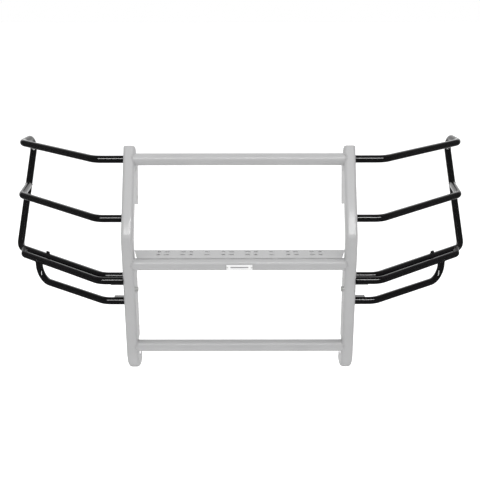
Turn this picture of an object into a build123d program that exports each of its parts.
"""Front grille guard for a pickup truck.

Two pressed channel uprights carry two round cross tubes and a step. A wing of bent tube is bolted to
the outside of each upright. Millimetres, +Z up, the front of the guard faces -Y. The origin is the
middle of the guard, level with the middle hole of the two frame plates.
"""
from math import atan2, cos, hypot, radians, sin, sqrt, tan
import os

from build123d import *

os.makedirs("parts", exist_ok=True)

# ---------------------------------------------------------------- driving dimensions: uprights
upright_spacing = 922.0      # between the centre lines of the two uprights
upright_width = 48.0         # across the front face
upright_depth = 52.0         # front face to the open back
upright_wall = 4.0
upright_corner_radius = 14.0
upright_top_z = 654.0        # end of the channel, on its centre line
kink_y = -83.0               # centre line at the foremost bend
kink_z = 315.0
kink_radius = 45.0
lean_above = 28.0            # degrees from vertical, above the bend
lean_below = 1.8             # degrees from vertical, below the bend
hook_start_z = -197.0        # where the straight leg turns into the hook
hook_radius = 75.0           # on the centre line
hook_angle = 112.0
cap_thickness = 8.0
cap_edge_radius = 5.0

# ---------------------------------------------------------------- driving dimensions: centre section
cross_tube_diameter = 50.8
cross_tube_wall = 3.0
top_tube_z = 614.0
step_tube_z = 203.0
bottom_tube_z = -169.0
tread_depth = 108.0
tread_thickness = 4.0
tread_front = 6.0            # plate ahead of the tube's centre line
tread_flange = 28.0
tread_front_half = 424.0
tread_rear_half = 448.0
tread_hole_diameter = 14.0
tread_hole_pitch = 136.0
tread_slot_length = 20.0
tread_slot_width = 9.0
tread_slot_offset = 34.0     # slots each side of the middle of every second gap between holes
tread_row_spacing = 40.0
tread_row_inset = 44.0       # first row behind the front edge
gusset_thickness = 5.0
step_gusset_x = 372.0
badge_width = 112.0
badge_height = 28.0
badge_thickness = 1.5
badge_tilt = 13.0            # degrees below straight ahead
rivet_diameter = 3.0
rivet_inset = 6.0

# ---------------------------------------------------------------- driving dimensions: wings
rail_diameter = 31.75
rail_wall = 2.5
rail_bend_radius = 75.0
corner_radius = 60.0
hoop_low_radius = 45.0
mid_corner_radius = 50.0
low_corner_radius = 25.0
loop_radius = 70.0
sweep_upper = 44.2           # degrees back from straight out
sweep_lower = 41.5
top_rail_z = 614.5
mid_rail_z = 390.0
low_rail_z = 134.5
loop_z = 39.5
hoop_low_rise = 10.0         # hoop's lower run above the front lower rail
pair_gap = 0.8               # between the hoop's lower run and the lower rail
low_rail_forward = 13.0      # front lower rail ahead of the upright's centre line
loop_forward = 1.0
top_run = 122.0              # straight out from the upright before the sweep
mid_run = 103.0
low_run = 99.0
loop_run = 82.0
hoop_corner_x = 1019.0
hoop_low_corner_x = 1030.0
mid_corner_x = 1008.0
low_corner_x = 990.0
loop_corner_x = 907.0
hoop_return = 176.0          # from the top corner back to the rear tube
hoop_return_inset = 19.0
mid_return_rise = 15.0
low_return = 47.0

# ---------------------------------------------------------------- driving dimensions: plates and fasteners
plate_thickness = 6.0
frame_plate_front_gap = 2.1  # behind the line where the channel's rounded corner ends
frame_plate_back_y = 22.0
frame_plate_low_z = -158.0
frame_plate_high_z = 165.0
frame_hole_diameter = 13.0
frame_hole_pitch = 110.0
frame_bolt_y = -62.0
frame_bolt_z = 87.0
support_foot_y = 141.0       # lowest corner of the support plate, at its back
support_foot_z = 404.0
support_tilt = 15.0          # degrees, back edge from vertical and lower edge from level
support_back_length = 205.0
support_hole_diameter = 11.0
support_hole_pitch = 40.0
support_hole_inset = 18.0
support_slot_length = 42.0
support_slot_height = 22.0
support_slot_z = 566.0
support_slot_back = 34.0     # slot's middle behind the upright's back edge
pair_strap_length = 52.0
pair_strap_thickness = 4.0
pair_strap_edge = 4.0        # strap past the lines where it touches the two tubes
loop_strap_length = 42.0
loop_strap_width = 24.0
loop_strap_thickness = 3.0
loop_strap_back = 4.0        # strap's middle behind the loop's centre line
corner_hole_diameter = 10.0  # jig hole in the upright's outer front corner
corner_hole_z = 89.0
stay_tab_x = 864.0
stay_tab_width = 20.0
stay_tab_height = 11.0
stay_tab_thickness = 5.0
stay_hole_diameter = 5.5
rail_bolt_diameter = 10.0
rail_bolt_reach = 25.0       # under the head
frame_bolt_diameter = 12.0
frame_bolt_reach = 28.0
bolt_clearance = 1.0         # hole over bolt, on the diameter
thread_clearance = 0.2
plug_length = 22.0
plug_clearance = 0.1
washer_thickness = 2.5
washer_edge_gap = 2.0        # wing washers behind the line where the rounded corner ends

# ---------------------------------------------------------------- worked-out places
upright_x = upright_spacing / 2
outer_face_x = upright_x + upright_width / 2
inner_face_x = upright_x - upright_width / 2
rail_radius = rail_diameter / 2
tube_radius = cross_tube_diameter / 2


def upright_centre_y(z):
    """Y of the upright's centre line at a height, ignoring the rounding of the bend."""
    if z >= kink_z:
        return kink_y + (z - kink_z) * tan(radians(lean_above))
    return kink_y + (kink_z - z) * tan(radians(lean_below))


top_y = upright_centre_y(upright_top_z)
hook_start_y = upright_centre_y(hook_start_z)
hook_tangent = (0, sin(radians(lean_below)), -cos(radians(lean_below)))
# the rails bolt to the flat of the channel's side, so their washers stay behind its rounded corner
flat_start = upright_corner_radius - upright_depth / 2
rail_setback = flat_start + rail_bolt_diameter + washer_edge_gap
top_rail_y = upright_centre_y(top_rail_z) + rail_setback
mid_rail_y = upright_centre_y(mid_rail_z) + rail_setback
low_rail_y = upright_centre_y(low_rail_z) + rail_setback - low_rail_forward
loop_y = upright_centre_y(loop_z) + rail_setback - loop_forward
hoop_low_back = sqrt((rail_diameter + pair_gap) ** 2 - hoop_low_rise**2)
hoop_low_y = low_rail_y + hoop_low_back
frame_plate_front_y = upright_centre_y(frame_plate_low_z) + flat_start + frame_plate_front_gap
hoop_low_z = low_rail_z + hoop_low_rise
step_tube_y = upright_centre_y(step_tube_z)
tread_top_z = step_tube_z + tube_radius + tread_thickness
tread_front_y = step_tube_y - tread_front
tread_back_y = tread_front_y + tread_depth


# ---------------------------------------------------------------- helpers
def tube(points, radii, diameter, wall):
    """Round tube along straight runs joined by tangent bends; a wall of 0 makes it solid."""
    with BuildPart() as bent:
        with BuildLine() as path:
            if radii:
                FilletPolyline(*points, radius=radii)
            else:
                Line(*points)
        with BuildSketch(Plane(origin=path.line @ 0, z_dir=path.line % 0)):
            Circle(diameter / 2)
            if wall:
                Circle(diameter / 2 - wall, mode=Mode.SUBTRACT)
        sweep()
    return bent.part


def upright_body(wall, behind=0.0):
    """Left upright along its centre line: an open-backed channel, or for wall 0 its full outline, which
    can reach some way behind its back."""
    with BuildPart() as body:
        with BuildLine(Plane.YZ.offset(-upright_x)) as path:
            legs = FilletPolyline(
                (top_y, upright_top_z),
                (kink_y, kink_z),
                (hook_start_y, hook_start_z),
                radius=[kink_radius],
            )
            JernArc(legs @ 1, hook_tangent, hook_radius, hook_angle)
        # local +Y of this plane points to the front of the guard
        with BuildSketch(Plane(origin=path.line @ 0, x_dir=(1, 0, 0), z_dir=path.line % 0)):
            RectangleRounded(upright_width, upright_depth, upright_corner_radius)
            with Locations((0, -upright_depth / 4 - behind / 2)):
                Rectangle(upright_width, upright_depth / 2 + behind)
            if wall:
                inside = upright_width - 2 * wall
                with Locations((0, -wall)):
                    RectangleRounded(
                        inside, upright_depth, upright_corner_radius - wall, mode=Mode.SUBTRACT
                    )
                with Locations((0, -upright_depth / 4 - wall)):
                    Rectangle(inside, upright_depth / 2 + wall, mode=Mode.SUBTRACT)
        sweep()
    return body.part


def side_plate(outline, x_low, thickness):
    """Flat plate in the fore-and-aft plane, from its (y, z) corners."""
    with BuildPart() as plate:
        with BuildSketch(Plane.YZ.offset(x_low)):
            Polygon(*outline, align=None)
        extrude(amount=thickness)
    return plate.part


def write(solid, name):
    """Write one piece under its own name."""
    solid.label = name
    export_step(solid, f"parts/{name}.step")


def write_pair(solid, name):
    """Write a left-hand piece and its mirror image on the right."""
    write(solid, f"left_{name}")
    with BuildPart() as twin:
        mirror(solid, about=Plane.YZ)
    write(twin.part, f"right_{name}")


def bolt(seat, diameter, reach):
    """Hex bolt along X: its head on the +X side of seat (x, y, z), its shank reaching towards -X."""
    head_height = 0.64 * diameter
    across_flats = 1.6 * diameter
    with BuildPart() as fastener:
        with BuildSketch(Plane.YZ):
            RegularPolygon(across_flats / 2, 6, major_radius=False)
        extrude(amount=head_height)
        with BuildSketch(Plane.YZ):
            Circle(diameter / 2)
        extrude(amount=-reach)
    return fastener.part.moved(Location(seat))


def washer(seat, diameter):
    """Flat washer along X, standing on the +X side of seat."""
    with BuildPart() as ring:
        with BuildSketch(Plane.YZ):
            Circle(diameter)
            Circle((diameter + bolt_clearance) / 2, mode=Mode.SUBTRACT)
        extrude(amount=washer_thickness)
    return ring.part.moved(Location(seat))


def nut(seat, diameter):
    """Hex nut along X on the -X side of seat, clear of its bolt by the thread clearance."""
    with BuildPart() as ring:
        with BuildSketch(Plane.YZ):
            RegularPolygon(0.8 * diameter, 6, major_radius=False)
            Circle((diameter + thread_clearance) / 2, mode=Mode.SUBTRACT)
        extrude(amount=-0.8 * diameter)
    return ring.part.moved(Location(seat))


# ---------------------------------------------------------------- wing paths, left side
def swept_y(start_y, run, corner_x, angle):
    """Y that a rail reaches at its corner, after running straight out and then sweeping back."""
    return start_y + (corner_x - outer_face_x - run) * tan(radians(angle))


hoop_corner_y = swept_y(top_rail_y, top_run, hoop_corner_x, sweep_upper)
mid_corner_y = swept_y(mid_rail_y, mid_run, mid_corner_x, sweep_upper)
low_corner_y = swept_y(low_rail_y, low_run, low_corner_x, sweep_lower)
# the hoop's lower run stays parallel to the front lower rail, so its bend moves in a little
hoop_low_run = low_run - hoop_low_back * tan(radians(sweep_lower / 2))
hoop_low_corner_y = swept_y(hoop_low_y, hoop_low_run, hoop_low_corner_x, sweep_lower)
loop_corner_y = swept_y(low_rail_y, low_run, loop_corner_x, sweep_lower)

hoop_points = [
    (-outer_face_x, top_rail_y, top_rail_z),
    (-outer_face_x - top_run, top_rail_y, top_rail_z),
    (-hoop_corner_x, hoop_corner_y, top_rail_z),
    (-hoop_corner_x + hoop_return_inset, hoop_corner_y + hoop_return, top_rail_z + 2),
    (-hoop_low_corner_x, hoop_low_corner_y, hoop_low_z),
    (-outer_face_x - hoop_low_run, hoop_low_y, hoop_low_z),
    (-outer_face_x, hoop_low_y, hoop_low_z),
]
hoop_radii = [rail_bend_radius, corner_radius, hoop_low_radius, hoop_low_radius, rail_bend_radius]

# the middle rail's return ends inside the hoop's rear tube and is coped to it
rear_top = Vector(*hoop_points[3])
rear_foot = Vector(*hoop_points[4])
mid_end_z = mid_rail_z + mid_return_rise
mid_end = rear_top + (rear_foot - rear_top) * ((rear_top.Z - mid_end_z) / (rear_top.Z - rear_foot.Z))
mid_points = [
    (-outer_face_x, mid_rail_y, mid_rail_z),
    (-outer_face_x - mid_run, mid_rail_y, mid_rail_z),
    (-mid_corner_x, mid_corner_y, mid_rail_z),
    tuple(mid_end),
]

# the front lower rail is cut square and butts against the side of the upright
low_points = [
    (-outer_face_x, low_rail_y, low_rail_z),
    (-outer_face_x - low_run, low_rail_y, low_rail_z),
    (-low_corner_x, low_corner_y, low_rail_z),
    (-low_corner_x - hoop_low_rise, low_corner_y + low_return, low_rail_z + hoop_low_rise),
]

loop_points = [
    (-outer_face_x, loop_y, loop_z),
    (-outer_face_x - loop_run, loop_y, loop_z),
    (-loop_corner_x, loop_corner_y, loop_z),
    (-loop_corner_x, loop_corner_y, low_rail_z),
]

# ---------------------------------------------------------------- envelopes used for coping
hoop_outline = tube(hoop_points, hoop_radii, rail_diameter, 0)
low_rail_radii = [rail_bend_radius, low_corner_radius]
low_rail_outline = tube(low_points, low_rail_radii, rail_diameter, 0)
step_tube_outline = tube(
    [(-inner_face_x, step_tube_y, step_tube_z), (inner_face_x, step_tube_y, step_tube_z)],
    [],
    cross_tube_diameter,
    0,
)

# ---------------------------------------------------------------- bolt places, left side
bolted_tubes = [
    (top_rail_y, top_rail_z),
    (mid_rail_y, mid_rail_z),
    (hoop_low_y, hoop_low_z),
    (loop_y, loop_z),
]
rail_bolt_seats = [(-outer_face_x + upright_wall, y, z) for y, z in bolted_tubes]
frame_bolt_seat = (-inner_face_x, frame_bolt_y, frame_bolt_z)

# ---------------------------------------------------------------- uprights
corner_hole_y = upright_centre_y(corner_hole_z) - upright_depth / 2 + upright_corner_radius / 2
outer_holes = [(y, z, rail_bolt_diameter + bolt_clearance) for y, z in bolted_tubes]
outer_holes.append((corner_hole_y, corner_hole_z, corner_hole_diameter))
with BuildPart() as upright:
    add(upright_body(upright_wall))
    for y, z, diameter in outer_holes:
        with BuildSketch(Plane.YZ.offset(-outer_face_x)):
            with Locations((y, z)):
                Circle(diameter / 2)
        extrude(amount=upright_corner_radius, mode=Mode.SUBTRACT)
    with BuildSketch(Plane.YZ.offset(-inner_face_x)):
        with Locations((frame_bolt_y, frame_bolt_z)):
            Circle((frame_bolt_diameter + bolt_clearance) / 2)
    extrude(amount=-upright_wall, mode=Mode.SUBTRACT)
write_pair(upright.part, "upright")

# ---------------------------------------------------------------- caps on the uprights' top ends
with BuildPart() as upright_cap:
    cap_normal = (0, sin(radians(lean_above)), cos(radians(lean_above)))
    with BuildSketch(Plane(origin=(-upright_x, top_y, upright_top_z), x_dir=(1, 0, 0), z_dir=cap_normal)):
        RectangleRounded(upright_width, upright_depth, upright_corner_radius)
    extrude(amount=cap_thickness)
    cap_rim = upright_cap.faces().sort_by(Axis(origin=(0, 0, 0), direction=cap_normal))[-1].edges()
    fillet(cap_rim, radius=cap_edge_radius)
write_pair(upright_cap.part, "upright_cap")

# ---------------------------------------------------------------- cross tubes, coped to both uprights
# the outline reaches past the channel's back where a tube is deeper than the channel
tube_cope = upright_body(0, max(0.0, cross_tube_diameter - upright_depth))
right_tube_cope = mirror(tube_cope, about=Plane.YZ)
for name, y, z in [
    ("top_cross_tube", upright_centre_y(top_tube_z), top_tube_z),
    ("step_tube", step_tube_y, step_tube_z),
    ("bottom_cross_tube", upright_centre_y(bottom_tube_z), bottom_tube_z),
]:
    reach = inner_face_x + upright_corner_radius
    with BuildPart() as cross_tube:
        add(tube([(-reach, y, z), (reach, y, z)], [], cross_tube_diameter, cross_tube_wall))
        add(tube_cope, mode=Mode.SUBTRACT)
        add(right_tube_cope, mode=Mode.SUBTRACT)
        if name == "step_tube":
            badge_dir = (0, -cos(radians(badge_tilt)), -sin(radians(badge_tilt)))
            with BuildSketch(Plane(origin=(0, y, z), x_dir=(1, 0, 0), z_dir=badge_dir)):
                with GridLocations(badge_width - 2 * rivet_inset, 0, 2, 1):
                    Circle(rivet_diameter / 2 + plug_clearance)
            extrude(amount=cross_tube_diameter, mode=Mode.SUBTRACT)
    write(cross_tube.part.solids().sort_by(SortBy.VOLUME)[-1], name)

# ---------------------------------------------------------------- step tread with folded back edge
with BuildPart() as step_tread:
    with BuildSketch(Plane.XY.offset(tread_top_z)):
        Polygon(
            (-tread_front_half, tread_front_y),
            (tread_front_half, tread_front_y),
            (tread_rear_half, tread_back_y),
            (-tread_rear_half, tread_back_y),
            align=None,
        )
    extrude(amount=-tread_thickness)
    with BuildSketch(Plane.XY.offset(tread_top_z - tread_thickness)):
        with Locations((0, tread_back_y - tread_thickness / 2)):
            Rectangle(2 * tread_rear_half - tread_flange, tread_thickness)
    extrude(amount=-tread_flange)
    with BuildSketch(Plane.XY.offset(tread_top_z)):
        # two rows of round holes, with two slots and one slot in turn between them
        for row in range(2):
            row_y = tread_front_y + tread_row_inset + row * tread_row_spacing
            with Locations((0, row_y)):
                with GridLocations(tread_hole_pitch, 0, 6, 1):
                    Circle(tread_hole_diameter / 2)
                with GridLocations(2 * tread_hole_pitch, 0, 2, 1):
                    SlotOverall(tread_slot_length, tread_slot_width)
                with GridLocations(2 * tread_hole_pitch, 0, 3, 1):
                    with GridLocations(2 * tread_slot_offset, 0, 2, 1):
                        SlotOverall(tread_slot_length, tread_slot_width)
    extrude(amount=-tread_thickness, mode=Mode.SUBTRACT)
write(step_tread.part, "step_tread")

# ---------------------------------------------------------------- gussets under the tread
for name, x in [("left", -step_gusset_x), ("centre", 0), ("right", step_gusset_x)]:
    with BuildPart() as step_gusset:
        under = tread_top_z - tread_thickness
        add(
            side_plate(
                [
                    (step_tube_y, under),
                    (tread_back_y - tread_thickness, under),
                    (tread_back_y - tread_thickness, under - tread_flange),
                    (step_tube_y + tube_radius, step_tube_z - tube_radius / 2),
                    (step_tube_y, step_tube_z - tube_radius / 2),
                ],
                x - gusset_thickness / 2,
                gusset_thickness,
            )
        )
        add(step_tube_outline, mode=Mode.SUBTRACT)
    write(step_gusset.part, f"{name}_step_gusset")

# ---------------------------------------------------------------- badge plate and its rivets
badge_plane = Plane(origin=(0, step_tube_y, step_tube_z), x_dir=(1, 0, 0), z_dir=badge_dir)
with BuildPart() as badge_plate:
    with BuildSketch(badge_plane.offset(tube_radius)):
        RectangleRounded(badge_width, badge_height, badge_height / 8)
        with GridLocations(badge_width - 2 * rivet_inset, 0, 2, 1):
            Circle(rivet_diameter / 2 + plug_clearance, mode=Mode.SUBTRACT)
    extrude(amount=badge_thickness)
write(badge_plate.part, "badge_plate")

with BuildPart() as badge_rivets:
    with BuildSketch(badge_plane.offset(tube_radius + badge_thickness)):
        with GridLocations(badge_width - 2 * rivet_inset, 0, 2, 1):
            Circle(rivet_diameter)
    extrude(amount=rivet_diameter / 2)
    fillet(badge_rivets.faces().sort_by(Axis((0, 0, 0), badge_dir))[-2:].edges(), rivet_diameter / 3)
    with BuildSketch(badge_plane.offset(tube_radius + badge_thickness)):
        with GridLocations(badge_width - 2 * rivet_inset, 0, 2, 1):
            Circle(rivet_diameter / 2)
    extrude(amount=-badge_thickness - cross_tube_wall)
write(badge_rivets.part, "badge_rivets")

# ---------------------------------------------------------------- plates lapped on the inner flanges
lap_x = -inner_face_x - upright_wall - plate_thickness
with BuildPart() as frame_plate:
    add(
        side_plate(
            [
                (frame_plate_front_y, frame_plate_low_z),
                (frame_plate_back_y, frame_plate_low_z),
                (frame_plate_back_y, frame_plate_high_z),
                (frame_plate_front_y, frame_plate_high_z),
            ],
            lap_x,
            plate_thickness,
        )
    )
    fillet(frame_plate.edges().filter_by(Axis.X), radius=2 * plate_thickness)
    with BuildSketch(Plane.YZ.offset(lap_x)):
        with Locations((0, 0)):
            with GridLocations(0, frame_hole_pitch, 1, 3):
                Circle(frame_hole_diameter / 2)
        with Locations((frame_bolt_y, frame_bolt_z)):
            Circle((frame_bolt_diameter + bolt_clearance) / 2)
    extrude(amount=plate_thickness, mode=Mode.SUBTRACT)
write_pair(frame_plate.part, "frame_plate")

# the support plate is a rectangle tilted back; its front edge runs inside the channel, on its centre line
lean = tan(radians(lean_above))
slope = tan(radians(support_tilt))
support_top_y = support_foot_y + support_back_length * sin(radians(support_tilt))
support_top_z = support_foot_z + support_back_length * cos(radians(support_tilt))


def centre_line_above(y, z):
    """Where the plate's lower or upper edge through (y, z) meets the upright's centre line."""
    rise = (z + slope * y - slope * (kink_y - kink_z * lean)) / (1 + slope * lean)
    return (kink_y + (rise - kink_z) * lean, rise)


with BuildPart() as support_plate:
    add(
        side_plate(
            [
                centre_line_above(support_foot_y, support_foot_z),
                (support_foot_y, support_foot_z),
                (support_top_y, support_top_z),
                centre_line_above(support_top_y, support_top_z),
            ],
            lap_x,
            plate_thickness,
        )
    )
    support_hole_z = support_foot_z + 2 * support_hole_inset + support_hole_pitch / 2
    support_hole_y = support_foot_y - support_hole_inset
    support_slot_y = upright_centre_y(support_slot_z) + upright_depth / 2 + support_slot_back
    with BuildSketch(Plane.YZ.offset(lap_x)):
        with Locations((support_hole_y, support_hole_z)):
            with GridLocations(0, support_hole_pitch, 1, 2):
                Circle(support_hole_diameter / 2)
        with Locations((support_slot_y, support_slot_z)):
            SlotOverall(support_slot_length, support_slot_height)
    extrude(amount=plate_thickness, mode=Mode.SUBTRACT)
write_pair(support_plate.part, "support_plate")

# ---------------------------------------------------------------- wing tubes
with BuildPart() as outer_hoop:
    add(tube(hoop_points, hoop_radii, rail_diameter, rail_wall))
write_pair(outer_hoop.part, "outer_hoop")

with BuildPart() as middle_rail:
    add(tube(mid_points, [rail_bend_radius, mid_corner_radius], rail_diameter, rail_wall))
    add(hoop_outline, mode=Mode.SUBTRACT)
write_pair(middle_rail.part.solids().sort_by(SortBy.VOLUME)[-1], "middle_rail")

with BuildPart() as lower_rail:
    add(tube(low_points, low_rail_radii, rail_diameter, rail_wall))
    add(hoop_outline, mode=Mode.SUBTRACT)
write_pair(lower_rail.part.solids().sort_by(SortBy.VOLUME)[-1], "lower_rail")

with BuildPart() as lower_loop:
    add(tube(loop_points, [rail_bend_radius, loop_radius], rail_diameter, rail_wall))
    add(low_rail_outline, mode=Mode.SUBTRACT)
write_pair(lower_loop.part.solids().sort_by(SortBy.VOLUME)[-1], "lower_loop")

# ---------------------------------------------------------------- straps at the lower tubes' inner ends
# the pair strap lies flat against the undersides of the two lower tubes
pair_angle = atan2(hoop_low_rise, hoop_low_back)
pair_distance = hypot(hoop_low_rise, hoop_low_back)
with BuildPart() as pair_strap:
    pair_under = (0, sin(pair_angle), -cos(pair_angle))
    strap_plane = Plane(origin=(-outer_face_x, low_rail_y, low_rail_z), x_dir=(-1, 0, 0), z_dir=pair_under)
    with BuildSketch(strap_plane.offset(rail_radius)):
        with Locations((0, pair_distance / 2)):
            Rectangle(pair_strap_length, pair_distance + 2 * pair_strap_edge, align=(Align.MIN, Align.CENTER))
    extrude(amount=pair_strap_thickness)
write_pair(pair_strap.part, "pair_strap")

with BuildPart() as loop_strap:
    with BuildSketch(Plane.XY.offset(loop_z + rail_radius)):
        with Locations((-outer_face_x, loop_y + loop_strap_back)):
            Rectangle(loop_strap_length, loop_strap_width, align=(Align.MAX, Align.CENTER))
    extrude(amount=loop_strap_thickness)
write_pair(loop_strap.part, "loop_strap")

# ---------------------------------------------------------------- stay tab on top of the hoop's lower run
with BuildPart() as stay_tab:
    tab_y = swept_y(hoop_low_y, hoop_low_run, stay_tab_x, sweep_lower)
    along = (-cos(radians(sweep_lower)), sin(radians(sweep_lower)), 0)
    tab_plane = Plane(
        origin=(-stay_tab_x, tab_y, hoop_low_z), x_dir=along, z_dir=Vector(*along).cross(Vector(0, 0, 1))
    )
    tab_top = rail_radius + stay_tab_height
    with BuildSketch(tab_plane):
        with Locations((0, tab_top / 2)):
            RectangleRounded(stay_tab_width, tab_top, stay_tab_width / 6)
        with Locations((0, rail_radius + stay_tab_height / 2)):
            Circle(stay_hole_diameter / 2, mode=Mode.SUBTRACT)
    extrude(amount=stay_tab_thickness / 2, both=True)
    add(hoop_outline, mode=Mode.SUBTRACT)
write_pair(stay_tab.part.solids().sort_by(SortBy.VOLUME)[-1], "stay_tab")

# ---------------------------------------------------------------- fasteners, one group of solids each
with BuildPart() as rail_plugs:
    for seat in rail_bolt_seats:
        with BuildSketch(Plane.YZ.offset(-outer_face_x)):
            with Locations((seat[1], seat[2])):
                Circle(rail_radius - rail_wall - plug_clearance)
                Circle((rail_bolt_diameter + thread_clearance) / 2, mode=Mode.SUBTRACT)
        extrude(amount=-plug_length)
write_pair(rail_plugs.part, "rail_plugs")

with BuildPart() as wing_washers:
    for seat in rail_bolt_seats:
        add(washer(seat, rail_bolt_diameter))
write_pair(wing_washers.part, "wing_washers")

with BuildPart() as wing_bolts:
    for x, y, z in rail_bolt_seats:
        add(bolt((x + washer_thickness, y, z), rail_bolt_diameter, rail_bolt_reach))
write_pair(wing_bolts.part, "wing_bolts")

# the frame bolt runs from the inner face of the upright through the plate lapped behind it
x, y, z = frame_bolt_seat
write_pair(washer(frame_bolt_seat, frame_bolt_diameter), "frame_washer")
write_pair(bolt((x + washer_thickness, y, z), frame_bolt_diameter, frame_bolt_reach), "frame_bolt")
write_pair(nut((lap_x, y, z), frame_bolt_diameter), "frame_nut")
